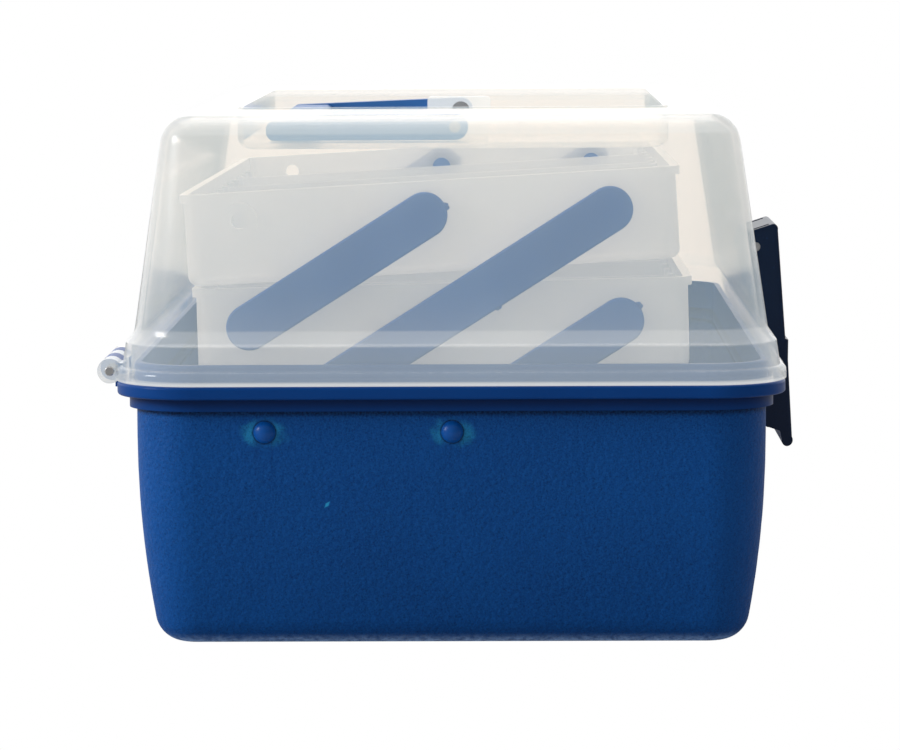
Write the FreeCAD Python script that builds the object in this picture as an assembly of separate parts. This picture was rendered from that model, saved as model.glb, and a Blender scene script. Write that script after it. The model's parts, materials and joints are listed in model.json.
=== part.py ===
"""Two-tray cantilever art supply box, as an assembly of its separate moulded and steel pieces.

Units are millimetres. X runs along the hinge, -Y is the latch side, +Y the hinge side, +Z up.
The origin is the middle of the flat foot under the base.
"""
import FreeCAD, Part
import math
import os
from FreeCAD import Vector

# ---- driving dimensions -------------------------------------------------------------------
RIM_HALF_X = 172.5          # rim flange of the base, from the middle to its end
RIM_HALF_Y = 101.7          # and to its front
RIM_CORNER = 24.0           # plan radius of the rim flange
CORNER_X = RIM_HALF_X - RIM_CORNER   # every wall turns about these four corner centres
CORNER_Y = RIM_HALF_Y - RIM_CORNER

FOOT_HEIGHT = 0.7           # flat foot that the base stands on
FOOT_MARGIN = 3.5           # foot edge inside the corner centres
BASE_THICK = 2.2
BASE_WALL_OUT = 95.8 - CORNER_Y      # wall's outer face, outwards from a corner centre
BASE_STEP_OUT = 98.0 - CORNER_Y      # step under the flange
BASE_BOW = 310.0            # radius of the wall's gentle bow towards the bottom
BOW_START = 64.0            # height where the wall starts to bow in
BASE_FOOT_RADIUS = 9.0      # bottom edge
STEP_LOW = 73.0
FLANGE_LOW = 76.7
PARTING = 80.7              # top of the base's flange
LIP_TOP = 86.8              # top of the inner lip that the lid fits over
LIP_OUT = 96.4 - CORNER_Y
LIP_IN = 94.2 - CORNER_Y

LID_GAP = 0.1
LID_THICK = 2.0
LID_TOP = 161.2
LID_FLANGE_OUT = 102.0 - CORNER_Y
LID_EDGE_RADIUS = 9.0
LID_WALL_LOW = (96.2 - CORNER_Y, 97.0)      # foot of the drafted wall: outwards, height
LID_DRAFT = 8.37            # degrees
PAN_HALF_X = 97.6
PAN_HALF_Y = 68.3
PAN_CORNER = 10.0
PAN_LOW = 148.5
PAN_THICK = 1.8
PAN_BOTTOM_RADIUS = 4.0
PAN_LIP = 0.5               # how far the pan's lip stands above the lid

HINGE_Y = 104.2
HINGE_Z = 83.4
KNUCKLE_R = 3.8
KNUCKLE_LONG = 9.5
KNUCKLE_PITCH = 10.0
KNUCKLE_COUNT = 5           # in each of the two groups, starting with a lid knuckle
HINGE_END = 148.0           # outer end of each group
HINGE_PIN_R = 1.5
WEB_FRONT = 100.5           # front of the webs that carry the base's knuckles
KNUCKLE_ROOM = 0.5          # clearance of the lid's notches round the base's knuckles
RUNNING_GAP = 0.05          # radial clearance of a turning fit
OPEN_PIVOT_GAP = 0.15       # radial clearance where a linkage loop closes

PIVOT_REAR = (56.0, 66.5)   # rear base rivet: Y, Z
PIVOT_SPACING = 56.5        # from the rear to the front base rivet
ARM_ANGLE = 32.4            # closed arms rise towards the front at this angle
ARM_LOWER = 60.5            # base pivot to lower tray pivot
ARM_UPPER = 63.0            # lower tray pivot to upper tray pivot
TRAY_PIVOT = (56.0, 1.6)    # rear tray pivot behind and below the middle one
ARM_R = 7.0
ARM_INNER = 154.8           # inner face of every arm, from the middle
ARM_THICK = 2.4
STUD_R = 2.4
STUD_HEAD_R = 3.3

TRAY_HALF_X = 152.6
TRAY_HALF_Y = 74.8
TRAY_HEIGHT = 28.0
TRAY_THICK = 1.5
TRAY_CORNER = 5.0
COLLAR_OUT = 1.2
COLLAR_TALL = 2.6
BOSS_R = 5.5
SLOT_PITCH = 25.0
SLOT_COUNT = 11
RIB_THICK = 1.1
RIB_DEEP = 2.2
RIB_DROP = 4.0              # rib tops below the tray's rim
DIVIDER_THICK = 1.4
DIVIDER_SLOTS = (2, 5, 8)
TRAY_RACK = 0.5             # degrees; both trays hang a little low at their +X end
LOWER_TRAY = {"y": 2.75, "z": 109.0, "tilt": 1.24}    # middle of the rim, front edge raised
UPPER_TRAY = {"y": 6.5, "z": 140.0, "tilt": 3.2}

LATCH_PIVOT = (-100.0, 112.0)
LATCH_HALF = 21.0
LATCH_THICK = 2.2
LATCH_PIN_R = 1.5
LATCH_EAR = (15.4, 18.0)    # inner and outer faces of the lid's two ears
LATCH_EAR_R = 3.5
LATCH_EAR_ROOT = -93.0      # Y where the ears are buried in the lid's front wall
HOOK_TOP = FLANGE_LOW - 0.4
HOOK_LOW = HOOK_TOP - 3.9
NOTCH_TOP = PARTING + 5.6   # the latch's ribs are notched from the hook to here

HANDLE_PIVOT = (-0.6, 154.9)
HANDLE_HUB_R = 4.2
HANDLE_END = 84.0           # outer face of the handle's side arms
HANDLE_ARM_WIDE = 8.0
HANDLE_PIN_R = 1.8
HANDLE_HEAD_R = 3.2         # flat head of the handle's pin
HANDLE_HEAD_TALL = 1.1
GRIP_REAR = 59.6
GRIP_FRONT = 45.0
GRIP_TOP = 156.9
GRIP_WALL = 3.2             # the grip is a channel, open below
EAR_IN = 67.9               # the pan's two ears that hold the handle's pins, inside its arms
EAR_OUT = 75.4
EAR_Y = (-11.1, 11.2)
EAR_TOP = 159.8

ENDS = (("left", -1), ("right", 1))
X_AXIS = Vector(1, 0, 0)
Z_AXIS = Vector(0, 0, 1)
ORIGIN = Vector(0, 0, 0)


# ---- helpers ------------------------------------------------------------------------------
def save(name, *solids):
    """One STEP file per node; a group of identical pieces is a compound of solids."""
    shape = solids[0] if len(solids) == 1 else Part.makeCompound(list(solids))
    if not shape.isValid():
        raise ValueError(name + " is not a valid shape")
    shape.exportStep(os.path.join("parts", name + ".step"))


def box(x0, x1, y0, y1, z0, z1):
    low = Vector(min(x0, x1), min(y0, y1), min(z0, z1))
    return Part.makeBox(abs(x1 - x0), abs(y1 - y0), abs(z1 - z0), low)


def rod(x0, x1, y, z, radius):
    """Round bar along X."""
    return Part.makeCylinder(radius, abs(x1 - x0), Vector(min(x0, x1), y, z), X_AXIS)


def outline(path, place):
    """Closed wire through points; an entry of two points is an arc by way of the first."""
    edges = []
    first = last = place(*path[0])
    for step in path[1:]:
        if isinstance(step[0], tuple):
            via, end = place(*step[0]), place(*step[1])
            edges.append(Part.Arc(last, via, end).toShape())
        else:
            end = place(*step)
            edges.append(Part.LineSegment(last, end).toShape())
        last = end
    if last.distanceToPoint(first) > 1e-6:
        edges.append(Part.LineSegment(last, first).toShape())
    return Part.Wire(edges)


def plate(path, x0, x1):
    """Flat piece whose side view, in Y and Z, is the outline."""
    face = Part.Face(outline(path, lambda y, z: Vector(min(x0, x1), y, z)))
    return face.extrude(Vector(abs(x1 - x0), 0, 0))


def shell(path, slab_low, slab_high):
    """Carries a wall section, measured out from the corner centres, round four sides."""
    section = Part.Face(outline(path, lambda out, z: Vector(out, 0, z)))
    corner = section.revolve(ORIGIN, Z_AXIS, 90)
    pieces = []
    halves = (CORNER_X, CORNER_Y)
    for turn, (sx, sy) in enumerate(((1, 1), (-1, 1), (-1, -1), (1, -1))):
        at_corner = Vector(sx * CORNER_X, sy * CORNER_Y, 0)
        turned = corner.copy()
        turned.rotate(ORIGIN, Z_AXIS, 90 * turn)
        turned.translate(at_corner)
        side = section.copy()
        side.rotate(ORIGIN, Z_AXIS, 90 * turn)
        side.translate(at_corner)
        length = 2 * halves[(turn + 1) % 2]
        heading = math.radians(90 * turn - 90)
        run = Vector(round(math.cos(heading)) * length, round(math.sin(heading)) * length, 0)
        pieces += [turned, side.extrude(run)]
    slab = box(-CORNER_X, CORNER_X, -CORNER_Y, CORNER_Y, slab_low, slab_high)
    return slab.multiFuse(pieces).removeSplitter()


def rounded_box(half_x, half_y, low, high, corner, bottom=0.0):
    """Upright box with rounded plan corners and, if asked, a rounded bottom edge."""
    body = box(-half_x, half_x, -half_y, half_y, low, high)
    upright = [e for e in body.Edges if abs(e.tangentAt(e.FirstParameter).z) > 0.9]
    body = body.makeFillet(corner, upright)
    if bottom:
        under = [e for e in body.Edges if e.BoundBox.ZMax < low + 1e-6]
        body = body.makeFillet(bottom, under)
    return body


def arc_end(centre, radius, degrees):
    a = math.radians(degrees)
    return (centre[0] + radius * math.cos(a), centre[1] + radius * math.sin(a))


def step_along(start, length, degrees):
    return arc_end(start, length, degrees)


# ---- linkage points, all as (Y, Z) --------------------------------------------------------
ARM_HEADING = 180 - ARM_ANGLE
PIVOT_FRONT = (PIVOT_REAR[0] - PIVOT_SPACING, PIVOT_REAR[1])
LOWER_MIDDLE = step_along(PIVOT_REAR, ARM_LOWER, ARM_HEADING)
LOWER_FRONT = step_along(PIVOT_FRONT, ARM_LOWER, ARM_HEADING)
LOWER_REAR = (LOWER_MIDDLE[0] + TRAY_PIVOT[0], LOWER_MIDDLE[1] - TRAY_PIVOT[1])
UPPER_FRONT = step_along(LOWER_MIDDLE, ARM_UPPER, ARM_HEADING)
UPPER_MIDDLE = step_along(LOWER_REAR, ARM_UPPER, ARM_HEADING)
UPPER_REAR = (UPPER_MIDDLE[0] + TRAY_PIVOT[0], UPPER_MIDDLE[1] - TRAY_PIVOT[1])


# ---- base ---------------------------------------------------------------------------------
def bowed_wall(offset):
    """Points of the bowed wall, offset inwards: wall top, way point, foot, floor tangent."""
    radius = BASE_BOW - offset
    foot_radius = BASE_FOOT_RADIUS - offset
    centre_out = BASE_WALL_OUT - BASE_BOW
    foot_z = FOOT_HEIGHT + BASE_FOOT_RADIUS
    drop = BOW_START - foot_z
    reach = math.sqrt((BASE_BOW - BASE_FOOT_RADIUS) ** 2 - drop ** 2)
    foot_centre = (centre_out + reach, foot_z)
    lean = math.degrees(math.atan2(-drop, reach))
    centre = (centre_out, BOW_START)
    top = arc_end(centre, radius, 0)
    way = arc_end(centre, radius, lean / 2)
    foot = arc_end(centre, radius, lean)
    foot_way = arc_end(foot_centre, foot_radius, (lean - 90) / 2)
    floor = arc_end(foot_centre, foot_radius, -90)
    return top, way, foot, foot_way, floor


def base_section():
    top, way, foot, foot_way, floor = bowed_wall(0)
    in_top, in_way, in_foot, in_foot_way, in_floor = bowed_wall(BASE_THICK)
    soft = 0.9
    rim_out = RIM_CORNER
    return [
        (0, FOOT_HEIGHT), floor, (foot_way, foot), (way, top),
        (BASE_WALL_OUT, STEP_LOW), (BASE_STEP_OUT, STEP_LOW), (BASE_STEP_OUT, FLANGE_LOW),
        (rim_out - soft, FLANGE_LOW),
        (arc_end((rim_out - soft, FLANGE_LOW + soft), soft, -45), (rim_out, FLANGE_LOW + soft)),
        (rim_out, PARTING - soft),
        (arc_end((rim_out - soft, PARTING - soft), soft, 45), (rim_out - soft, PARTING)),
        (LIP_OUT, PARTING), (LIP_OUT, LIP_TOP - soft),
        (arc_end((LIP_OUT - soft, LIP_TOP - soft), soft, 45), (LIP_OUT - soft, LIP_TOP)),
        (LIP_IN, LIP_TOP), (LIP_IN, PARTING), (in_top[0], STEP_LOW), in_top,
        (in_way, in_foot), (in_foot_way, in_floor), (0, FOOT_HEIGHT + BASE_THICK),
    ]


def knuckles(owner):
    """X spans of one owner's knuckles, 0 for the lid and 1 for the base, in both groups."""
    spans = []
    for _, sign in ENDS:
        for index in range(owner, KNUCKLE_COUNT, 2):
            start = HINGE_END - index * KNUCKLE_PITCH
            spans.append((sign * start, sign * (start - KNUCKLE_LONG)))
    return spans


def base_shell():
    body = shell(base_section(), FOOT_HEIGHT, FOOT_HEIGHT + BASE_THICK)
    foot = rounded_box(CORNER_X - FOOT_MARGIN, CORNER_Y - FOOT_MARGIN, 0, FOOT_HEIGHT + 0.5, 6)
    added = [foot]
    for x0, x1 in knuckles(1):
        added.append(rod(x0, x1, HINGE_Y, HINGE_Z, KNUCKLE_R))
        added.append(box(x0, x1, WEB_FRONT, HINGE_Y - 0.8, FLANGE_LOW + 1.0, HINGE_Z))
    wall_inside = CORNER_X + BASE_WALL_OUT - BASE_THICK
    boss_face = ARM_INNER + ARM_THICK + 0.3
    for _, sign in ENDS:
        for y, z in (PIVOT_REAR, PIVOT_FRONT):
            added.append(rod(sign * (wall_inside + 0.8), sign * boss_face, y, z, ARM_R - 0.5))
    body = body.multiFuse(added)
    cuts = []
    for x0, x1 in knuckles(1):
        cuts.append(rod(x0, x1, HINGE_Y, HINGE_Z, HINGE_PIN_R + RUNNING_GAP))
    for _, sign in ENDS:
        for y, z in (PIVOT_REAR, PIVOT_FRONT):
            cuts.append(rod(sign * (boss_face - 1), sign * (RIM_HALF_X + 1), y, z, STUD_R))
    return body.cut(cuts).removeSplitter()


def base_rivets(sign):
    """Domed rivets that hold the arms to an end wall: head, shank and inner collar."""
    wall_face = CORNER_X + BASE_WALL_OUT
    inner = ARM_INNER - 0.2
    head_r, head_high = 3.3, 1.9
    ball_r = (head_r ** 2 + head_high ** 2) / (2 * head_high)
    made = []
    for y, z in (PIVOT_REAR, PIVOT_FRONT):
        shank = rod(sign * (inner - 0.5), sign * (wall_face + 0.5), y, z, STUD_R)
        collar = rod(sign * (inner - 1.6), sign * inner, y, z, 4.4)
        ball = Part.makeSphere(ball_r, Vector(sign * (wall_face + head_high - ball_r), y, z))
        head = rod(sign * wall_face, sign * (wall_face + head_high), y, z, head_r)
        made.append(shank.multiFuse([collar, head.common(ball)]).removeSplitter())
    return made


# ---- lid ----------------------------------------------------------------------------------
def lid_section():
    lean = math.radians(LID_DRAFT)
    normal = (math.cos(lean), math.sin(lean))
    top_z = LID_TOP - LID_EDGE_RADIUS
    low = LID_WALL_LOW
    drop = -LID_EDGE_RADIUS - normal[1] * (top_z - low[1])
    centre = (low[0] + drop / normal[0], top_z)
    inner_r = LID_EDGE_RADIUS - LID_THICK
    wall_top = arc_end(centre, LID_EDGE_RADIUS, LID_DRAFT)
    in_wall_top = arc_end(centre, inner_r, LID_DRAFT)
    in_low = (low[0] - LID_THICK * normal[0], low[1] - LID_THICK * normal[1])
    bottom = PARTING + LID_GAP
    skirt = (99.0 - CORNER_Y, 92.6)
    in_skirt = (97.1 - CORNER_Y, 92.2)
    in_bottom = (98.0 - CORNER_Y, bottom)
    middle = (90 + LID_DRAFT) / 2
    return [
        (0, LID_TOP - LID_THICK), (centre[0], LID_TOP - LID_THICK),
        (arc_end(centre, inner_r, middle), in_wall_top), in_low,
        ((in_low[0] + 0.95, in_low[1] - 2.7), in_skirt), in_bottom,
        (LID_FLANGE_OUT - 0.6, bottom),
        (arc_end((LID_FLANGE_OUT - 0.6, bottom + 0.6), 0.6, -45), (LID_FLANGE_OUT, bottom + 0.6)),
        (LID_FLANGE_OUT, bottom + 2.6),
        (arc_end((LID_FLANGE_OUT - 1.9, bottom + 2.6), 1.9, 45), (LID_FLANGE_OUT - 1.9, bottom + 4.5)),
        skirt, ((low[0] + 1.0, low[1] - 2.7), low), wall_top,
        (arc_end(centre, LID_EDGE_RADIUS, middle), (centre[0], LID_TOP)), (0, LID_TOP),
    ]


def lid_shell():
    body = shell(lid_section(), LID_TOP - LID_THICK, LID_TOP)
    lip_top = LID_TOP + PAN_LIP
    added = [rounded_box(PAN_HALF_X, PAN_HALF_Y, PAN_LOW, lip_top, PAN_CORNER, PAN_BOTTOM_RADIUS)]
    pan = rounded_box(PAN_HALF_X - PAN_THICK, PAN_HALF_Y - PAN_THICK, PAN_LOW + PAN_THICK,
                      lip_top + 5, PAN_CORNER - PAN_THICK, PAN_BOTTOM_RADIUS - PAN_THICK)
    latch_y, latch_z = LATCH_PIVOT
    ears = []
    for _, sign in ENDS:
        ear = box(sign * EAR_IN, sign * EAR_OUT, *EAR_Y, PAN_LOW + 1, EAR_TOP)
        top = [e for e in ear.Edges if e.BoundBox.ZMin > EAR_TOP - 0.1]
        ears.append(ear.makeFillet(1.4, top))
        x0, x1 = (sign * face for face in LATCH_EAR)
        added.append(rod(x0, x1, latch_y, latch_z, LATCH_EAR_R))
        added.append(box(x0, x1, latch_y, LATCH_EAR_ROOT, latch_z - LATCH_EAR_R, latch_z + LATCH_EAR_R))
    for x0, x1 in knuckles(0):
        added.append(rod(x0, x1, HINGE_Y, HINGE_Z, KNUCKLE_R))
        added.append(box(x0, x1, 98.6, HINGE_Y, PARTING + LID_GAP + 0.4, HINGE_Z + 2.4))
    body = body.multiFuse(added).cut(pan).multiFuse(ears)
    cuts = [rod(-20, 20, latch_y, latch_z, LATCH_PIN_R)]
    for x0, x1 in knuckles(1):
        cuts.append(box(min(x0, x1) - KNUCKLE_ROOM, max(x0, x1) + KNUCKLE_ROOM,
                        WEB_FRONT - KNUCKLE_ROOM, HINGE_Y, PARTING - KNUCKLE_ROOM,
                        HINGE_Z + KNUCKLE_R + KNUCKLE_ROOM))
    for x0, x1 in knuckles(0):
        cuts.append(rod(x0, x1, HINGE_Y, HINGE_Z, HINGE_PIN_R))
    for _, sign in ENDS:
        cuts.append(rod(sign * (EAR_IN - 1), sign * (EAR_OUT + 1), *HANDLE_PIVOT, HANDLE_PIN_R))
    return body.cut(cuts).removeSplitter()


def hinge_pin(sign):
    length = (KNUCKLE_COUNT - 1) * KNUCKLE_PITCH + KNUCKLE_LONG
    pin = rod(sign * (HINGE_END + 0.4), sign * (HINGE_END - length - 0.4), HINGE_Y, HINGE_Z,
              HINGE_PIN_R)
    return pin.makeChamfer(0.3, [e for e in pin.Edges if e.Curve.TypeId == "Part::GeomCircle"])


# ---- latch --------------------------------------------------------------------------------
def latch_side():
    """Outline of the whole latch from the side, notched round the base's and lid's flanges."""
    return [
        (-105.4, 119.6), ((-106.8, 119.3), (-107.4, 118.0)),
        (-110.0, 81.2), (-111.0, 80.8), (-110.9, 74.2), (-112.3, 48.0),
        ((-111.9, 45.6), (-110.6, 45.0)), ((-109.3, 45.6), (-108.9, 47.2)),
        (-108.2, 50.2), (-104.6, 51.4), ((-103.2, 52.0), (-102.7, 53.4)),
        (-102.7, HOOK_LOW), (-100.0, HOOK_LOW), ((-99.2, HOOK_LOW + 0.4), (-98.9, HOOK_LOW + 1.4)),
        (-98.9, HOOK_TOP), (-103.2, HOOK_TOP), (-103.2, NOTCH_TOP), (-101.0, NOTCH_TOP + 0.2),
        (-100.0, 93.6),
        (-97.4, 98.0), (-95.9, 108.0), ((-95.2, 113.0), (-97.4, 117.0)),
    ]


def latch():
    """A front plate with two side ribs, a hook under the base's flange and a finger lip."""
    half, rib = LATCH_HALF, LATCH_THICK
    body = plate(latch_side(), -half, half)
    front = [e for e in body.Edges if e.BoundBox.XLength < 1e-6 and e.BoundBox.YMax < -107
             and e.BoundBox.ZLength > 20]
    body = body.makeFillet(1.0, front)
    above_hook = [(-90, HOOK_TOP), (-108.2, HOOK_TOP), (-107.7, 81.0), (-105.2, 116.0), (-90, 116.0)]
    below_hook = [(-90, 40), (-108.9, 40), (-108.9, 50.0), (-108.3, HOOK_LOW), (-90, HOOK_LOW)]
    cuts = [plate(path, -half + rib, half - rib) for path in (above_hook, below_hook)]
    ear_in, ear_out = LATCH_EAR
    for _, sign in ENDS:
        cuts.append(box(sign * (ear_in - 0.4), sign * (half - rib), -104.6, -90, 113, 121))
    y, z = LATCH_PIVOT
    cuts.append(rod(-half - 1, half + 1, y, z, LATCH_PIN_R + RUNNING_GAP))
    return body.cut(cuts).removeSplitter()


def latch_pin():
    y, z = LATCH_PIVOT
    return rod(-LATCH_HALF + 0.3, LATCH_HALF - 0.3, y, z, LATCH_PIN_R)


# ---- handle -------------------------------------------------------------------------------
def handle():
    """Bail lying back in the pan: two tapering side arms and a channel-shaped grip across them."""
    y, z = HANDLE_PIVOT
    low = z - HANDLE_HUB_R
    grip_back = [
        (GRIP_REAR - 3.0, GRIP_TOP),
        ((GRIP_REAR - 0.6, GRIP_TOP - 0.9), (GRIP_REAR, GRIP_TOP - 2.6)),
        (GRIP_REAR, low + 2.6), ((GRIP_REAR - 0.8, low + 0.8), (GRIP_REAR - 2.6, low)),
    ]
    side = [(y, low), ((y - HANDLE_HUB_R, z), (y, z + HANDLE_HUB_R))] + grip_back
    bar = [
        (GRIP_FRONT + 2.5, low), ((GRIP_FRONT + 0.7, low + 0.8), (GRIP_FRONT, low + 2.2)),
        (GRIP_FRONT, GRIP_TOP - 2.2),
        ((GRIP_FRONT + 0.8, GRIP_TOP - 0.6), (GRIP_FRONT + 2.8, GRIP_TOP)),
    ] + grip_back
    inner = HANDLE_END - HANDLE_ARM_WIDE
    body = plate(bar, -inner - 0.5, inner + 0.5)
    arms = [plate(side, sign * HANDLE_END, sign * inner) for _, sign in ENDS]
    body = body.multiFuse(arms).removeSplitter()
    hollow = box(-inner + 4, inner - 4, GRIP_FRONT + GRIP_WALL, GRIP_REAR - GRIP_WALL, low - 1,
                 GRIP_TOP - GRIP_WALL)
    return body.cut([hollow, rod(-HANDLE_END - 1, HANDLE_END + 1, y, z, HANDLE_PIN_R + RUNNING_GAP)])


def handle_pin(sign):
    y, z = HANDLE_PIVOT
    pin = rod(sign * EAR_IN, sign * (HANDLE_END - 0.6), y, z, HANDLE_PIN_R)
    head = rod(sign * EAR_IN, sign * (EAR_IN - HANDLE_HEAD_TALL), y, z, HANDLE_HEAD_R)
    return pin.fuse(head).removeSplitter()


# ---- arms ---------------------------------------------------------------------------------
def arm(sign, pivots, holes):
    """Flat bar through its pivots; it has a snap stud at each pivot that is not a hole."""
    start, end = pivots[0], pivots[-1]
    heading = math.degrees(math.atan2(end[1] - start[1], end[0] - start[0]))
    side = [
        arc_end(start, ARM_R, heading + 90),
        (arc_end(start, ARM_R, heading + 180), arc_end(start, ARM_R, heading - 90)),
        arc_end(end, ARM_R, heading - 90),
        (arc_end(end, ARM_R, heading), arc_end(end, ARM_R, heading + 90)),
    ]
    inner, outer = sign * ARM_INNER, sign * (ARM_INNER + ARM_THICK)
    bar = plate(side, inner, outer)
    rim = [e for e in bar.Edges if abs(abs(e.BoundBox.XMin) - ARM_INNER - ARM_THICK) < 1e-6
           and e.BoundBox.XLength < 1e-6]
    bar = bar.makeFillet(0.7, rim)
    studs = []
    for y, z in pivots:
        if (y, z) not in holes:
            studs.append(rod(sign * (ARM_INNER + 0.5), sign * (ARM_INNER - 5.2), y, z, STUD_R))
            studs.append(rod(sign * (ARM_INNER - 4.5), sign * (ARM_INNER - 6.0), y, z, STUD_HEAD_R))
    bar = bar.multiFuse(studs).removeSplitter()
    cuts = [rod(sign * (ARM_INNER - 1), sign * (ARM_INNER + 5), y, z, STUD_R + RUNNING_GAP)
            for y, z in holes]
    return bar.cut(cuts) if cuts else bar


# ---- trays --------------------------------------------------------------------------------
def seat_tray(shape, place):
    """Tips a level tray piece, drawn about the middle of its rim, into its resting place."""
    shape.rotate(ORIGIN, X_AXIS, -place["tilt"])
    shape.rotate(ORIGIN, Vector(0, 1, 0), TRAY_RACK)
    shape.translate(Vector(0, place["y"], place["z"]))
    return shape


def slot_x(index):
    return (index - (SLOT_COUNT - 1) / 2) * SLOT_PITCH


def tray(place, pivots, loose):
    """Open tray with a collar, divider slots and pivot bosses; loose pivots get more room."""
    body = rounded_box(TRAY_HALF_X, TRAY_HALF_Y, -TRAY_HEIGHT, 0, TRAY_CORNER, 3.0)
    collar = rounded_box(TRAY_HALF_X + COLLAR_OUT, TRAY_HALF_Y + COLLAR_OUT, -COLLAR_TALL, 0,
                         TRAY_CORNER + COLLAR_OUT)
    inside_x, inside_y = TRAY_HALF_X - TRAY_THICK, TRAY_HALF_Y - TRAY_THICK
    inside = rounded_box(inside_x, inside_y, -TRAY_HEIGHT + TRAY_THICK, 5,
                         TRAY_CORNER - TRAY_THICK, 2.0)
    ribs = []
    beside = (DIVIDER_THICK + 0.5) / 2
    for index in range(SLOT_COUNT):
        for side in (-1, 1):
            for wall in (-1, 1):
                near = slot_x(index) + side * beside
                ribs.append(box(near, near + side * RIB_THICK, wall * (inside_y + 0.5),
                                wall * (inside_y - RIB_DEEP), -TRAY_HEIGHT + 1, -RIB_DROP))
    body = seat_tray(body.fuse(collar).cut(inside).multiFuse(ribs).removeSplitter(), place)
    bosses, holes = [], []
    for _, sign in ENDS:
        for pivot in pivots:
            gap = OPEN_PIVOT_GAP if pivot in loose else RUNNING_GAP
            bosses.append(rod(sign * (TRAY_HALF_X - 0.7), sign * (ARM_INNER - 0.2), *pivot, BOSS_R))
            holes.append(rod(sign * (TRAY_HALF_X - 4), sign * (ARM_INNER + 1), *pivot, STUD_R + gap))
    return body.multiFuse(bosses).cut(holes).removeSplitter()


def dividers(place):
    """Removable cross walls standing in three of the tray's slots."""
    half = TRAY_HALF_Y - TRAY_THICK - 0.3
    made = []
    for index in DIVIDER_SLOTS:
        x = slot_x(index)
        wall = box(x - DIVIDER_THICK / 2, x + DIVIDER_THICK / 2, -half, half,
                   -TRAY_HEIGHT + TRAY_THICK + 0.2, -RIB_DROP - 0.5)
        ends = [e for e in wall.Edges if e.BoundBox.XLength > 1 and e.BoundBox.ZMax < -20]
        made.append(seat_tray(wall.makeFillet(2.4, ends), place))
    return made


def main():
    os.makedirs("parts", exist_ok=True)
    save("base_shell", base_shell())
    save("lid_shell", lid_shell())
    save("latch", latch())
    save("latch_pin", latch_pin())
    save("handle", handle())
    lower = (LOWER_REAR, LOWER_MIDDLE, LOWER_FRONT)
    upper = (UPPER_REAR, UPPER_MIDDLE, UPPER_FRONT)
    for name, sign in ENDS:
        save("hinge_pin_" + name, hinge_pin(sign))
        save("handle_pin_" + name, handle_pin(sign))
        save("base_rivets_" + name, *base_rivets(sign))
        save("arm_long_" + name, arm(sign, (PIVOT_REAR, LOWER_MIDDLE, UPPER_FRONT), (PIVOT_REAR,)))
        save("arm_short_lower_" + name, arm(sign, (PIVOT_FRONT, LOWER_FRONT), (PIVOT_FRONT,)))
        save("arm_short_upper_" + name, arm(sign, (LOWER_REAR, UPPER_MIDDLE), ()))
    save("lower_tray", tray(LOWER_TRAY, lower, (LOWER_FRONT,)))
    save("upper_tray", tray(UPPER_TRAY, upper, (UPPER_MIDDLE,)))
    save("lower_tray_dividers", *dividers(LOWER_TRAY))
    save("upper_tray_dividers", *dividers(UPPER_TRAY))


main()
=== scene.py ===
"""Looks of the two-tray art supply box: materials, small moulded details, studio light and camera.

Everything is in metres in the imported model's frame: X along the hinge, -Y the latch side, +Z up.
The left end is the one at -X, which the camera looks at.
"""

import json
import math

import bpy
from mathutils import Matrix, Vector


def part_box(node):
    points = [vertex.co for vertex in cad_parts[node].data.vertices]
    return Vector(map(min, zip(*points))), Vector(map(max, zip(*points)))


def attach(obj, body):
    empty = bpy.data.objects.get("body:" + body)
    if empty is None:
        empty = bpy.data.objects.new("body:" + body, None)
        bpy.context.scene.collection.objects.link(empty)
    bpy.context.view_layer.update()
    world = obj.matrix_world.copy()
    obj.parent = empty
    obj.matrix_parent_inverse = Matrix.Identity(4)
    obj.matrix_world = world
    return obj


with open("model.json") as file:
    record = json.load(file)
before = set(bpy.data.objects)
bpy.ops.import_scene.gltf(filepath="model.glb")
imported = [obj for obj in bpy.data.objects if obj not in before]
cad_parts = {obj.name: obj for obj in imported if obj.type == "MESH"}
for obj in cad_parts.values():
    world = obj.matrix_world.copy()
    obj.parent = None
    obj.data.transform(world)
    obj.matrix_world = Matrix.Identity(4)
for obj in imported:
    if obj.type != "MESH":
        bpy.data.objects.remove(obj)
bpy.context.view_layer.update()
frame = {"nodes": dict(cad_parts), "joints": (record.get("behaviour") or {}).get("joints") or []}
MM = 0.001
ENDS = {"left": -1, "right": 1}      # which way along X each end lies


# ---- places that the materials need, from the frame -----------------------------------------
def joint_yz(name):
    """Where a joint's axis crosses the end view."""
    place = next(joint["pos_m"] for joint in frame["joints"] if joint["name"] == name)
    return place[1], place[2]


RIVETS = (joint_yz("arm_long_pivot"), joint_yz("arm_short_lower_pivot"))
HINGE_Y, HINGE_Z = joint_yz("lid_hinge")
PARTING_Z = HINGE_Z - 2.6 * MM       # lower edge of the lid's flange
FLANGE_Z = PARTING_Z - 4.1 * MM      # underside of the base's flange
STEP_Z = PARTING_Z - 7.8 * MM        # top of the base's grained wall, under the step
LIP_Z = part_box("lid_shell")[1][2]    # the pan's lip, which is the lid's highest edge


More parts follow.
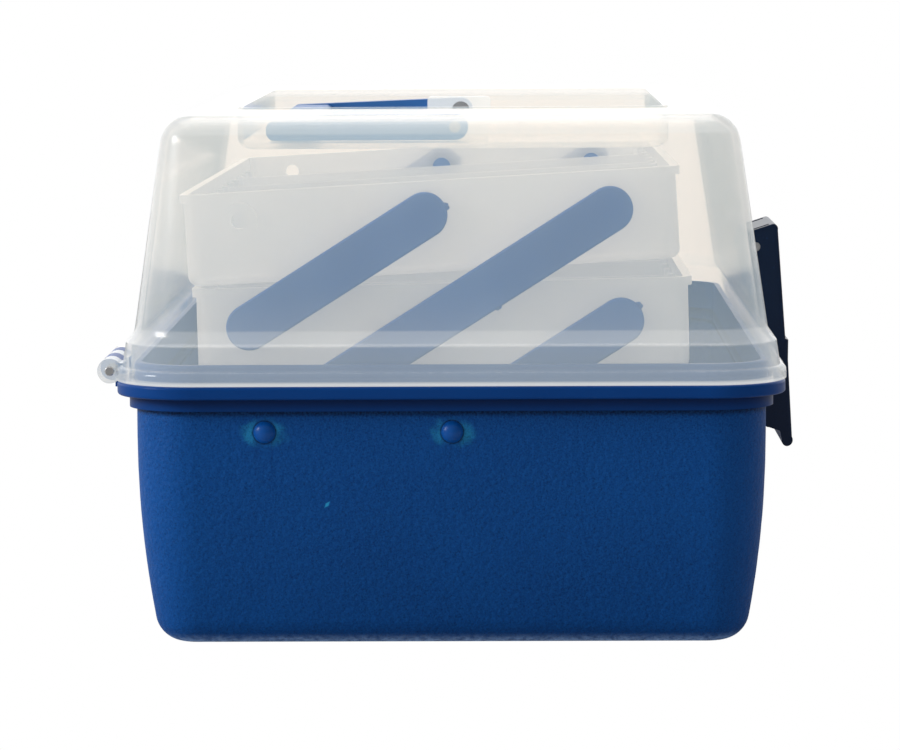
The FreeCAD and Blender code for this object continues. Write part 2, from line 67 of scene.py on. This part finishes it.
# ---- node helpers ---------------------------------------------------------------------------
class Nodes:
    """The node tree of a material or a world, built by short calls that return sockets."""

    def __init__(self, owner, output="ShaderNodeOutputMaterial"):
        owner.use_nodes = True
        self.owner = owner
        self.tree = owner.node_tree
        self.tree.nodes.clear()
        self.output = self.tree.nodes.new(output)
        self._place = None

    def add(self, kind, socket=0, settings=None, **inputs):
        """A node's output. Inputs go by name, with _ for a space, or by number, as _0."""
        node = self.tree.nodes.new(kind)
        for key, value in (settings or {}).items():
            setattr(node, key, value)
        for key, value in inputs.items():
            numbered = key[0] == "_"
            self.feed(node.inputs[int(key[1:]) if numbered else key.replace("_", " ")], value)
        return node.outputs[socket]

    def feed(self, slot, value):
        if isinstance(value, bpy.types.NodeSocket):
            self.tree.links.new(value, slot)
        else:
            slot.default_value = value

    def place(self):
        """Object coordinates: the piece's own place in the frame at rest, in metres."""
        if self._place is None:
            self._place = self.add("ShaderNodeTexCoord", socket="Object")
        return self._place

    def axis(self, letter):
        return self.add("ShaderNodeSeparateXYZ", socket=letter, Vector=self.place())

    def stretched(self, x=1.0, y=1.0, z=1.0):
        return self.add("ShaderNodeMapping", Vector=self.place(), Scale=(x, y, z))

    def noise(self, scale, detail=3.0, rough=0.5, vector=None):
        return self.add("ShaderNodeTexNoise", Vector=vector or self.place(), Scale=scale,
                        Detail=detail, Roughness=rough)

    def math(self, operation, a, b=0.0):
        return self.add("ShaderNodeMath", settings={"operation": operation}, _0=a, _1=b)

    def product(self, first, *others):
        for other in others:
            first = self.math("MULTIPLY", first, other)
        return first

    def total(self, first, *others):
        for other in others:
            first = self.math("ADD", first, other)
        return first

    def distance(self, a, b):
        return self.math("SQRT", self.total(self.product(a, a), self.product(b, b)))

    def ramp(self, value, low, high, out_low, out_high):
        return self.add("ShaderNodeMapRange", settings={"interpolation_type": "SMOOTHSTEP"}, _0=value,
                        _1=low, _2=high, _3=out_low, _4=out_high)

    def rise(self, value, low, high, most=1.0):
        return self.ramp(value, low, high, 0.0, most)

    def fall(self, value, low, high, most=1.0):
        return self.ramp(value, low, high, most, 0.0)

    def blend_colour(self, share, first, second):
        node = self.tree.nodes.new("ShaderNodeMix")
        node.data_type = "RGBA"
        self.feed(node.inputs[0], share)
        self.feed(node.inputs[6], first)
        self.feed(node.inputs[7], second)
        return node.outputs[2]

    def scaled(self, colour, factor):
        """A colour times a number that comes from nodes."""
        return self.add("ShaderNodeVectorMath", settings={"operation": "SCALE"}, _0=colour[:3], _3=factor)

    def bump(self, height, strength, distance, normal=None):
        inputs = {"Height": height, "Strength": strength, "Distance": distance}
        if normal is not None:
            inputs["Normal"] = normal
        return self.add("ShaderNodeBump", **inputs)

    def mix(self, share, first, second):
        return self.add("ShaderNodeMixShader", _0=share, _1=first, _2=second)

    def together(self, first, *others):
        for other in others:
            first = self.add("ShaderNodeAddShader", _0=first, _1=other)
        return first

    def finish(self, surface):
        self.tree.links.new(surface, self.output.inputs["Surface"])
        return self.owner


def new_material(name):
    return Nodes(bpy.data.materials.new(name))


def rgb(r, g, b):
    return (r, g, b, 1.0)


# ---- blue mouldings -------------------------------------------------------------------------
BLUE = rgb(0.003, 0.108, 0.46)
BLUE_DARK = rgb(0.0015, 0.066, 0.31)
BLUE_SATIN = rgb(0.0008, 0.030, 0.17)
BLUE_PALE = rgb(0.014, 0.17, 0.56)
BLUE_LIGHT = rgb(0.045, 0.17, 0.46)
NAVY = rgb(0.004, 0.020, 0.062)
# dark blue for painted shade under ledges and in the gap round each rivet, and for the grain's pits
SHADE_AND_PIT_DARK = rgb(0.0004, 0.006, 0.03)
STRESSED = rgb(0.03, 0.42, 0.80)
FLOOR_SHEEN = rgb(0.070, 0.105, 0.160)      # light that the white sweep throws up at the foot

GRAINED_GLOSS = 0.16
SMOOTH_GLOSS = 0.3
PLASTIC_IOR = 1.45


def mottled_blue(s, amount=0.5, tint=BLUE, deep=BLUE_DARK):
    """Uneven pigment: broad clouds and finer flecks."""
    clouds = s.rise(s.noise(14.0, detail=3.0, rough=0.6), 0.3, 0.72, amount)
    flecks = s.rise(s.noise(900.0, detail=2.0, rough=0.7), 0.6, 0.85, 0.12)
    return s.blend_colour(flecks, s.blend_colour(clouds, tint, deep), BLUE_PALE)


def rivet_marks_and_shade(s, colour):
    """Round each rivet: painted shade as a dark line in the gap, paler strained plastic beside it, and
    faint painted shade of sink marks below.
    """
    y, z = s.axis("Y"), s.axis("Z")
    ragged = s.math("SUBTRACT", s.noise(170.0, detail=4.0, rough=0.7), 0.5)
    for rivet_y, rivet_z in RIVETS:
        dy = s.math("SUBTRACT", y, rivet_y)
        dz = s.math("SUBTRACT", z, rivet_z)
        aside = s.math("ABSOLUTE", dy)

        # painted shade of the sink marks below each rivet: faint dark streaks
        below = s.product(s.rise(z, rivet_z - 26 * MM, rivet_z - 5 * MM),
                          s.fall(z, rivet_z - 3 * MM, rivet_z))
        streaks = s.noise(1.0, detail=2.0, vector=s.stretched(300.0, 300.0, 14.0))
        sink_shade = s.product(s.fall(aside, 1.5 * MM, 7.0 * MM), below, s.rise(streaks, 0.4, 0.7, 0.7))
        colour = s.blend_colour(sink_shade, colour, BLUE_DARK)

        reach = s.total(s.distance(dy, s.product(dz, 1.5)), s.product(ragged, 9 * MM))
        beside = s.ramp(aside, 1.5 * MM, 4.0 * MM, 0.15, 0.85)
        halo = s.product(s.fall(reach, 3.6 * MM, 8.0 * MM), beside)
        colour = s.blend_colour(halo, colour, STRESSED)

        # painted shade in the gap round the rivet's head: a dark line
        line = s.fall(s.distance(dy, dz), 3.4 * MM, 4.0 * MM, 0.85)
        colour = s.blend_colour(line, colour, SHADE_AND_PIT_DARK)
    return colour


FLECK_Y, FLECK_Z = 37.3 * MM, 44.5 * MM
FLECK_X = -99 * MM           # the scratch stays at the left of this


def fleck(s):
    """A slanting scratch on the left end, where the pigment shows pale."""
    dy = s.math("SUBTRACT", s.axis("Y"), FLECK_Y)
    dz = s.math("SUBTRACT", s.axis("Z"), FLECK_Z)
    along = s.total(s.product(dy, -0.65), s.product(dz, 0.76))
    across = s.total(s.product(dy, 0.76), s.product(dz, 0.65))
    far = s.total(s.math("ABSOLUTE", along), s.product(s.math("ABSOLUTE", across), 2.2))
    return s.product(s.fall(far, 0.7 * MM, 1.7 * MM, 0.9), s.fall(s.axis("X"), FLECK_X - 1 * MM, FLECK_X))


def wall_tone_and_painted_shade(s, z):
    """Share of dark: a quarter over the whole wall, painted shade that grows to most under the flange, and
    a painted shadow line under the step.
    """
    under_flange = s.product(s.ramp(z, STEP_Z, FLANGE_Z, 0.25, 0.85),
                             s.fall(z, FLANGE_Z, FLANGE_Z + 0.4 * MM))
    under_step = s.product(s.rise(z, STEP_Z - 2.2 * MM, STEP_Z - 0.6 * MM, 0.6),
                           s.fall(z, STEP_Z - 0.1 * MM, STEP_Z + 0.1 * MM))
    return s.math("MINIMUM", s.total(under_flange, under_step), 0.9)


def pebble_height(s):
    """Rounded pebbles with creases between them."""
    pebbles = s.add("ShaderNodeTexVoronoi", settings={"feature": "SMOOTH_F1"}, Vector=s.place(),
                    Scale=620.0, Smoothness=0.6)
    return s.total(s.product(pebbles, -0.7), s.noise(420.0, detail=5.0, rough=0.75))


def grained_base():
    """Pebble grain up to the step, satin above it."""
    s = new_material("base_pebble_grain")
    z = s.axis("Z")
    wall_top = (STEP_Z - 0.2 * MM, STEP_Z)
    on_wall = s.fall(z, *wall_top)
    colour = rivet_marks_and_shade(s, mottled_blue(s))
    # painted shade under the flange and a painted shadow line under the step, over a quarter-dark wall
    colour = s.blend_colour(wall_tone_and_painted_shade(s, z), colour, SHADE_AND_PIT_DARK)
    colour = s.blend_colour(s.rise(z, *wall_top, 0.55), colour, BLUE_SATIN)
    speckle = s.rise(s.noise(1500.0, detail=3.0, rough=0.7), 0.36, 0.64, 0.28)
    colour = s.blend_colour(s.product(speckle, on_wall), colour, BLUE_PALE)
    pits = s.rise(s.noise(2000.0, detail=2.0, rough=0.6), 0.5, 0.7, 0.4)
    colour = s.blend_colour(s.product(pits, on_wall), colour, SHADE_AND_PIT_DARK)
    colour = s.blend_colour(fleck(s), colour, STRESSED)
    sheen = s.product(s.fall(z, 0.7 * MM, 4.6 * MM),
                      s.ramp(s.noise(520.0, detail=4.0, rough=0.7), 0.25, 0.75, 0.2, 1.5))
    normal = s.bump(s.product(pebble_height(s), on_wall), 0.8, 0.3 * MM)
    normal = s.bump(s.noise(30.0, detail=2.0), 0.25, 0.6 * MM, normal)
    surface = s.add("ShaderNodeBsdfPrincipled", Base_Color=colour, Normal=normal,
                    Roughness=s.ramp(z, *wall_top, 0.48, 0.3), IOR=PLASTIC_IOR,
                    Specular_IOR_Level=GRAINED_GLOSS, Emission_Color=FLOOR_SHEEN,
                    Emission_Strength=sheen)
    return s.finish(surface)


def smooth_blue(name, rough, tint=BLUE, deep=BLUE_DARK):
    """A polished moulding: faint flow waves and a fine skin."""
    s = new_material(name)
    normal = s.bump(s.noise(700.0, detail=3.0, rough=0.6), 0.25, 0.08 * MM)
    normal = s.bump(s.noise(45.0, detail=2.0), 0.2, 0.5 * MM, normal)
    surface = s.add("ShaderNodeBsdfPrincipled", Base_Color=mottled_blue(s, 0.35, tint, deep),
                    Roughness=rough, Normal=normal, IOR=PLASTIC_IOR, Specular_IOR_Level=SMOOTH_GLOSS)
    return s.finish(surface)


# ---- frosted mouldings ----------------------------------------------------------------------
WHITE = rgb(1, 1, 1)
# colour of the painted glow that the lid's bands add
BAND_GLOW_WHITE = rgb(0.100, 0.097, 0.092)
LID_THROUGH, LID_HAZE = rgb(0.87, 0.815, 0.765), rgb(0.102, 0.134, 0.154)
TRAY_THROUGH, TRAY_HAZE = rgb(0.42, 0.42, 0.42), rgb(0.300, 0.304, 0.310)
# share of the haze that is painted light, given off as emission
LID_GLOW, TRAY_GLOW = 0.6, 0.15

FACE_ON_GLOSS, EDGE_ON_GLOSS = 0.035, 0.9      # share that the skin mirrors
BAND_DENSITY = 0.12                            # how much a band takes from what the wall passes

# where the haze of the top starts, from the middle out: just outside the pan
PAN_X, PAN_Y = (100 * MM, 106 * MM), (71 * MM, 76 * MM)
KNUCKLE_Y = (HINGE_Y - 2.1 * MM, HINGE_Y - 1.6 * MM)


def lid_bands(s):
    """More haze where the lid is thick or strained, a little denser there and with a painted white glow:
    lower edge, foot, top edge, ears and knuckles.
    """
    x, y, z = s.axis("X"), s.axis("Y"), s.axis("Z")
    out_x, out_y = s.math("ABSOLUTE", x), s.math("ABSOLUTE", y)
    edge = s.product(s.fall(z, PARTING_Z + 0.7 * MM, PARTING_Z + 1.2 * MM, 2.6), s.fall(y, *KNUCKLE_Y))
    knuckles = s.rise(y, *KNUCKLE_Y, 1.4)
    foot = s.product(s.rise(z, PARTING_Z + 11.2 * MM, PARTING_Z + 11.8 * MM),
                     s.fall(z, PARTING_Z + 15.8 * MM, PARTING_Z + 16.4 * MM, 0.7))
    low_wall = s.fall(z, PARTING_Z + 7.2 * MM, PARTING_Z + 31.2 * MM, 0.4)
    crown = s.product(s.rise(z, LIP_Z - 6.7 * MM, LIP_Z - 5.5 * MM, 0.9),
                      s.fall(z, LIP_Z - 2.3 * MM, LIP_Z - 1.1 * MM),
                      s.math("MAXIMUM", s.rise(out_x, *PAN_X), s.rise(out_y, *PAN_Y)))
    ears = s.product(s.rise(z, LIP_Z - 11.1 * MM, LIP_Z - 10.5 * MM, 3.2),
                     s.fall(out_y, 11.3 * MM, 11.6 * MM), s.fall(out_x, 80.0 * MM, 82.0 * MM))
    return s.total(edge, foot, crown, low_wall, ears, knuckles)


def frosted(name, through, haze, glow, rough, flow=0.0, bands=None):
    """Milky polypropylene. Each face of a wall passes the colour `through` and adds `haze`.

    Part of the haze, `glow`, is painted light, given off as emission; the rest is scattered there.
    `flow` is how streaky it is, and `bands` gives further haze from the place on the piece: a little less
    passes there, and a painted white glow is added.
    """
    s = new_material(name)
    clouds = s.math("SUBTRACT", s.noise(11.0, detail=4.0, rough=0.6), 0.5)
    streaks = s.math("SUBTRACT", s.noise(1.0, detail=3.0, vector=s.stretched(60.0, 60.0, 9.0)), 0.5)
    uneven = s.total(s.product(clouds, 0.14), s.product(streaks, flow))
    more = s.total(1.0, s.product(uneven, 2.0))
    less = s.math("SUBTRACT", 1.0, s.product(uneven, 0.5))
    extra = bands(s) if bands else 0.0
    less = s.math("SUBTRACT", less, s.product(extra, BAND_DENSITY))
    normal = s.bump(s.noise(1300.0, detail=2.0, rough=0.6), 0.2, 0.04 * MM)
    normal = s.bump(s.noise(55.0, detail=3.0), 0.22, 0.45 * MM, normal)
    spread = s.scaled(haze, s.product(more, 1.0 - glow))
    body = s.together(
        s.add("ShaderNodeBsdfTransparent", Color=s.scaled(through, less)),
        # painted light: the haze's glowing share, and the bands' white glow
        s.add("ShaderNodeEmission", Color=s.scaled(haze, s.product(more, glow)), Strength=1.0),
        s.add("ShaderNodeEmission", Color=s.scaled(BAND_GLOW_WHITE, extra), Strength=1.0),
        s.add("ShaderNodeBsdfTranslucent", Color=spread, Normal=normal),
        s.add("ShaderNodeBsdfDiffuse", Color=spread, Roughness=0.3, Normal=normal),
    )
    skin = s.add("ShaderNodeBsdfGlossy", Color=WHITE, Roughness=rough, Normal=normal)
    facing = s.add("ShaderNodeLayerWeight", socket="Facing", Blend=0.5, Normal=normal)
    mirrored = s.total(FACE_ON_GLOSS, s.product(s.math("POWER", facing, 5.0), EDGE_ON_GLOSS))
    return s.finish(s.mix(mirrored, body, skin))


# ---- metal ----------------------------------------------------------------------------------
def drawn_steel():
    """Wire with fine lines along X, its length."""
    s = new_material("drawn_steel")
    lines = s.noise(1.0, detail=4.0, rough=0.6, vector=s.stretched(80.0, 4000.0, 4000.0))
    colour = s.blend_colour(lines, rgb(0.42, 0.42, 0.43), rgb(0.68, 0.67, 0.66))
    surface = s.add("ShaderNodeBsdfPrincipled", Base_Color=colour, Metallic=1.0,
                    Roughness=s.ramp(lines, 0.2, 0.8, 0.25, 0.42))
    return s.finish(surface)


# ---- which node wears what ------------------------------------------------------------------
def dress(material, *nodes):
    for name in nodes:
        materials = frame["nodes"][name].data.materials
        materials.clear()
        materials.append(material)


def both(name):
    return [f"{name}_{end}" for end in ENDS]


arm_satin = smooth_blue("arm_satin", 0.4)
dress(grained_base(), "base_shell")
dress(frosted("lid_frosted", LID_THROUGH, LID_HAZE, LID_GLOW, 0.16, 0.08, lid_bands), "lid_shell")
dress(frosted("tray_milky", TRAY_THROUGH, TRAY_HAZE, TRAY_GLOW, 0.35), "lower_tray", "upper_tray")
dress(frosted("divider_milky", TRAY_THROUGH, TRAY_HAZE, TRAY_GLOW, 0.4),
      "lower_tray_dividers", "upper_tray_dividers")
dress(arm_satin, *both("arm_long"), *both("arm_short_lower"), *both("arm_short_upper"))
dress(smooth_blue("latch_gloss", 0.28, NAVY, NAVY), "latch")
dress(smooth_blue("handle_gloss", 0.3, BLUE_LIGHT, BLUE), "handle")
dress(smooth_blue("rivet_gloss", 0.3), *both("base_rivets"))
dress(drawn_steel(), *both("hinge_pin"), *both("handle_pin"), "latch_pin")


# ---- small moulded details ------------------------------------------------------------------
def put(name, data):
    """Adds an object made of `data` to the scene."""
    thing = bpy.data.objects.new(name, data)
    bpy.context.scene.collection.objects.link(thing)
    return thing


# The sprue stub on each arm's edge: the arm's body, how far the stub is in from the arm's -Y
# side and down from its top (mm), and the way it points in the end view (degrees).
GATES = (
    ("arm_short_upper", 0.37, 4.27, 158.0),
    ("arm_long", 40.67, 36.46, -122.4),
    ("arm_short_lower", 1.48, 2.22, 138.0),
)
STUB_SUNK = 1.4 * MM             # how deep its foot is in the arm
STUB_INSET = 1.4 * MM            # from the arm's outer face to the stub's middle
STUB_HALF_DEEP = 0.8 * MM        # along X
STUB_SIDES = 16
# each ring's rise and half width in mm, and its share of the depth
STUB_RINGS = ((0.0, 1.5, 1.0), (1.3, 1.3, 0.95), (1.8, 1.05, 0.8), (2.0, 0.7, 0.55))


def stub_points(foot, heading):
    """Rings of points round the way that the stub points, uneven as a break is."""
    heading = math.radians(heading)
    out = Vector((0, math.cos(heading), math.sin(heading)))
    wide_way = Vector((0, -out.z, out.y))
    for rise, half_wide, deep in STUB_RINGS:
        for k in range(STUB_SIDES):
            turn = 2 * math.pi * k / STUB_SIDES
            uneven = 1 + 0.12 * math.sin(3 * turn + rise)
            place = foot + out * (rise * uneven * MM - STUB_SUNK)
            place += wide_way * (half_wide * MM * math.cos(turn))
            yield place + Vector((STUB_HALF_DEEP * deep * math.sin(turn), 0, 0))


def stub_faces():
    """Sides between the rings, and a cap at each end."""
    last = (len(STUB_RINGS) - 1) * STUB_SIDES
    faces = []
    for start in range(0, last, STUB_SIDES):
        for k in range(STUB_SIDES):
            a, b = start + k, start + (k + 1) % STUB_SIDES
            faces.append((a, b, b + STUB_SIDES, a + STUB_SIDES))
    faces.append(tuple(reversed(range(STUB_SIDES))))
    faces.append(tuple(range(last, last + STUB_SIDES)))
    return faces


def gate_stub(body, inwards, down, heading, end):
    """A snapped-off sprue: a low, tapering stub with a slightly broken top."""
    low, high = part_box(f"{body}_{end}")
    side = ENDS[end]
    outer = high[0] if side > 0 else low[0]
    foot = Vector((0, low[1] + inwards * MM, high[2] - down * MM))
    points = [(outer + side * (p.x - STUB_INSET), p.y, p.z) for p in stub_points(foot, heading)]
    faces = stub_faces()
    if side < 0:
        faces = [face[::-1] for face in faces]
    mesh = bpy.data.meshes.new(f"gate_{body}_{end}")
    mesh.from_pydata(points, [], faces)
    mesh.shade_smooth()
    mesh.materials.append(arm_satin)
    stub = put(mesh.name, mesh)
    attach(stub, body)


for gate in GATES:
    for end in ENDS:
        gate_stub(*gate, end)


# ---- studio ---------------------------------------------------------------------------------
FLOOR_HALF = 8.0
FLOOR_GREY = 0.35
FLOOR_GLOW = 0.08

# Light from the surround: the axis, the side of it (MAXIMUM is plus), and how much comes from
# there for each unit of that axis, so it has the side's own sign.
AIR_ALL_ROUND = 0.05
AIR = (("X", "MAXIMUM", 1.1), ("X", "MINIMUM", -0.07), ("Y", "MAXIMUM", 0.5), ("Z", "MAXIMUM", 0.35))


def studio_floor():
    """White sweep: a wide floor that the camera sees as white, so that it meets the surround unseen."""
    mesh = bpy.data.meshes.new("studio_floor")
    corners = [(x * FLOOR_HALF, y * FLOOR_HALF, 0) for x, y in ((-1, -1), (1, -1), (1, 1), (-1, 1))]
    mesh.from_pydata(corners, [], [(0, 1, 2, 3)])
    s = new_material("pale_floor")
    lit = s.together(s.add("ShaderNodeBsdfDiffuse", Color=rgb(FLOOR_GREY, FLOOR_GREY, FLOOR_GREY)),
                     s.add("ShaderNodeEmission", Color=WHITE, Strength=FLOOR_GLOW))
    seen = s.add("ShaderNodeEmission", Color=WHITE, Strength=1.0)
    mesh.materials.append(s.finish(s.mix(s.add("ShaderNodeLightPath", socket="Is Camera Ray"), lit, seen)))
    put("studio_floor", mesh)


def studio_air():
    """White surround: brightest beyond the box (+X), softer above and at +Y, dim at -X and -Y."""
    world = bpy.data.worlds.new("studio_air")
    bpy.context.scene.world = world
    s = Nodes(world, "ShaderNodeOutputWorld")
    direction = s.add("ShaderNodeTexCoord", socket="Generated")
    level = AIR_ALL_ROUND
    for axis, side, amount in AIR:
        part = s.math(side, s.add("ShaderNodeSeparateXYZ", socket=axis, Vector=direction), 0.0)
        level = s.total(level, s.product(part, amount))
    ambient = s.add("ShaderNodeBackground", Color=WHITE, Strength=level)
    seen = s.add("ShaderNodeBackground", Color=WHITE, Strength=1.0)
    s.finish(s.mix(s.add("ShaderNodeLightPath", socket="Is Camera Ray"), ambient, seen))


def softbox(name, place, width, power):
    """A square soft light that points at the middle of the box."""
    light = bpy.data.lights.new(name, "AREA")
    light.shape = "RECTANGLE"
    light.size = light.size_y = width
    light.energy = power
    lamp = put(name, light)
    lamp.location = place
    aim = Vector((0, 0, 0.09)) - Vector(place)
    lamp.rotation_euler = aim.to_track_quat("-Z", "Y").to_euler()


def photo_camera():
    """Looks along +X at the left end, a little from above, from far away with a long lens."""
    place = Vector((-1.4161, -0.0194, 0.2062))
    yaw, pitch, roll = (math.radians(angle) for angle in (0.892, 5.600, -0.290))
    forward = Vector((math.cos(yaw) * math.cos(pitch), math.sin(yaw) * math.cos(pitch), -math.sin(pitch)))
    right = forward.cross(Vector((0, 0, 1))).normalized()
    up = right.cross(forward)
    right_rolled = right * math.cos(roll) + up * math.sin(roll)
    up_rolled = up * math.cos(roll) - right * math.sin(roll)
    turn = Matrix((right_rolled, up_rolled, -forward)).transposed().to_4x4()
    data = bpy.data.cameras.new("photo_camera")
    data.lens = 167.3
    data.sensor_width = 36.0
    data.clip_start, data.clip_end = 0.05, 50
    camera = put("photo_camera", data)
    camera.matrix_world = Matrix.Translation(place) @ turn
    bpy.context.scene.camera = camera


photo_camera()
studio_floor()
studio_air()
softbox("left", (-0.7, 1.6, 0.8), width=0.6, power=14)
softbox("top", (0.5, 0.2, 1.8), width=1.4, power=12)
scene = bpy.context.scene
scene.view_settings.view_transform = "Standard"
scene.cycles.use_denoising = True
scene.cycles.max_bounces = 8
scene.cycles.diffuse_bounces = 4
scene.cycles.transparent_max_bounces = 32
